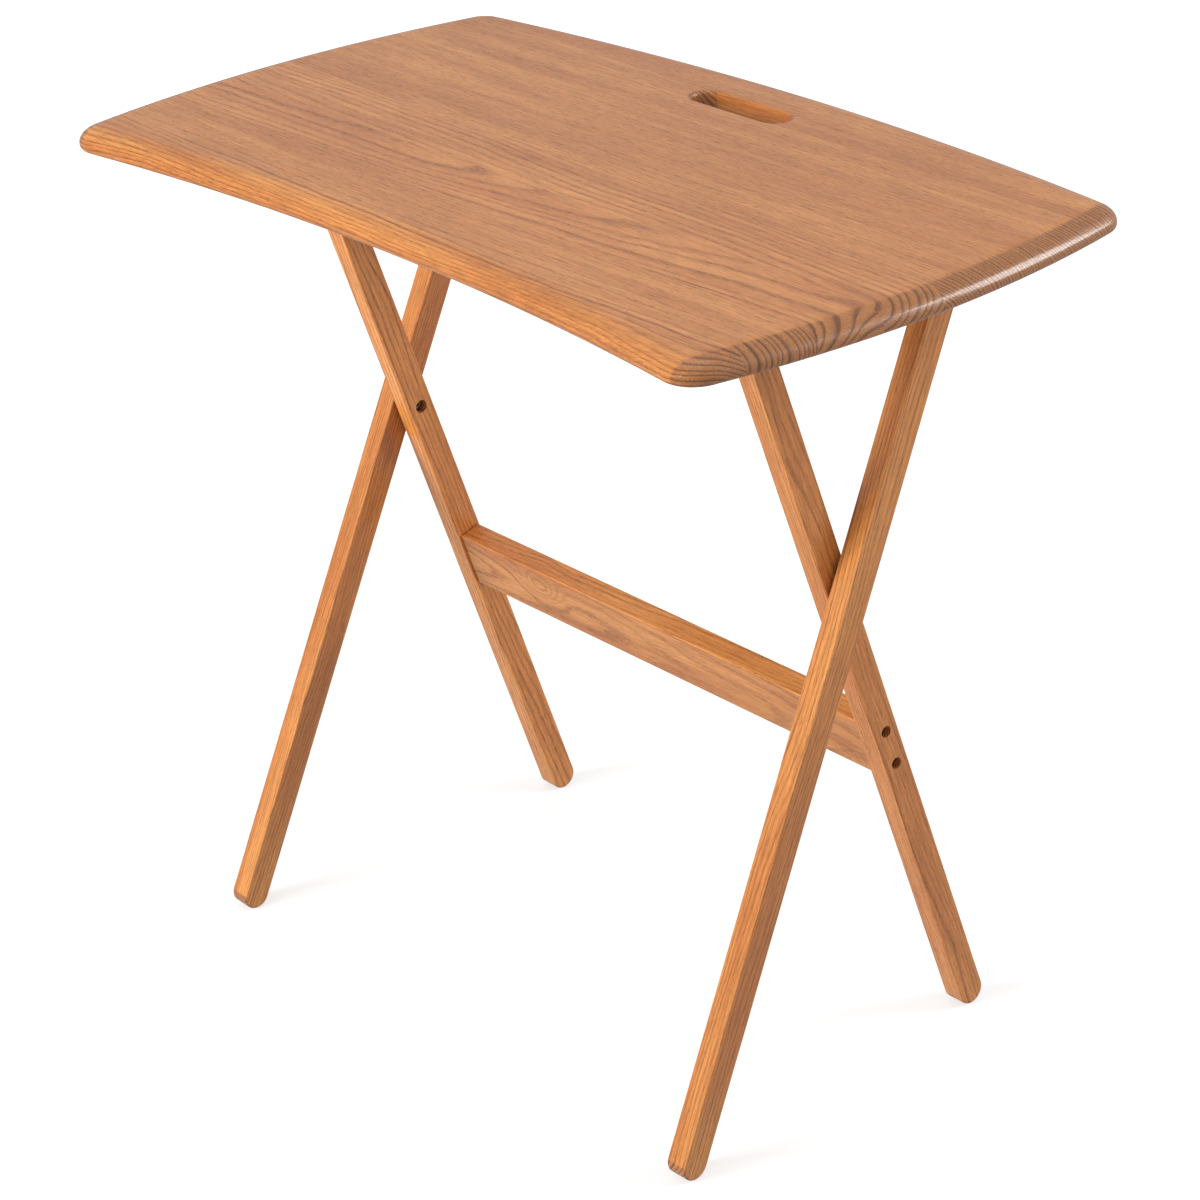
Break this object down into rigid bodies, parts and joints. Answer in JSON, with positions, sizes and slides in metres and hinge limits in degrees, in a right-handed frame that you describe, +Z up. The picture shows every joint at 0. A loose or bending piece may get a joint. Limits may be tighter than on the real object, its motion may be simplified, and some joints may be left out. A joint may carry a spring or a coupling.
{
  "type": "folding tray table",
  "caption": "Small folding table: a bowed solid wood top with a hand slot, on crossed wooden legs joined by a rail.",
  "frame": {"origin": "on the floor, under the middle of the whole table's bounding box", "axes": "+X along the top's length, +Y to the back where the hand slot is, +Z up"},
  "size_m": [0.7, 0.4148, 0.636],
  "materials": {
    "top_wood": "honey-brown satin lacquer over open-grained ash",
    "leg_wood": "honey-brown satin lacquer over open-grained ash",
    "block_wood": "honey-brown satin lacquer",
    "screw_steel": "zinc-plated, dulled",
    "washer": "moulded nylon"
  },
  "bodies": {
    "outer_frame": {"outer_leg_left": "leg_wood", "outer_leg_right": "leg_wood", "pivot_screw_left": "screw_steel", "pivot_screw_right": "screw_steel", "pivot_washer_left": "washer", "pivot_washer_right": "washer", "hinge_screw_left": "screw_steel", "hinge_screw_right": "screw_steel", "hinge_washer_left": "washer", "hinge_washer_right": "washer"},
    "inner_frame": {"inner_leg_left": "leg_wood", "inner_leg_right": "leg_wood", "rail": "leg_wood", "rail_screw_left_1": "screw_steel", "rail_screw_left_2": "screw_steel", "rail_screw_right_1": "screw_steel", "rail_screw_right_2": "screw_steel"},
    "tray": {"tray_top": "top_wood", "hinge_block_left": "block_wood", "hinge_block_right": "block_wood", "catch_block_left": "block_wood", "catch_block_right": "block_wood", "hinge_block_screw_left_1": "screw_steel", "hinge_block_screw_left_2": "screw_steel", "hinge_block_screw_right_1": "screw_steel", "hinge_block_screw_right_2": "screw_steel", "catch_block_screw_left_1": "screw_steel", "catch_block_screw_left_2": "screw_steel", "catch_block_screw_right_1": "screw_steel", "catch_block_screw_right_2": "screw_steel"}
  },
  "joints": [
    {"name": "leg_fold", "type": "hinge", "parent": "outer_frame", "child": "inner_frame", "pos_m": [0, 0.0084, 0.3845], "axis": [-1, 0, 0], "range_deg": [0, 43.4]},
    {"name": "tray_lift", "type": "hinge", "parent": "outer_frame", "child": "tray", "pos_m": [0, 0.10889, 0.605], "axis": [-1, 0, 0], "range_deg": [0, 75]}
  ]
}
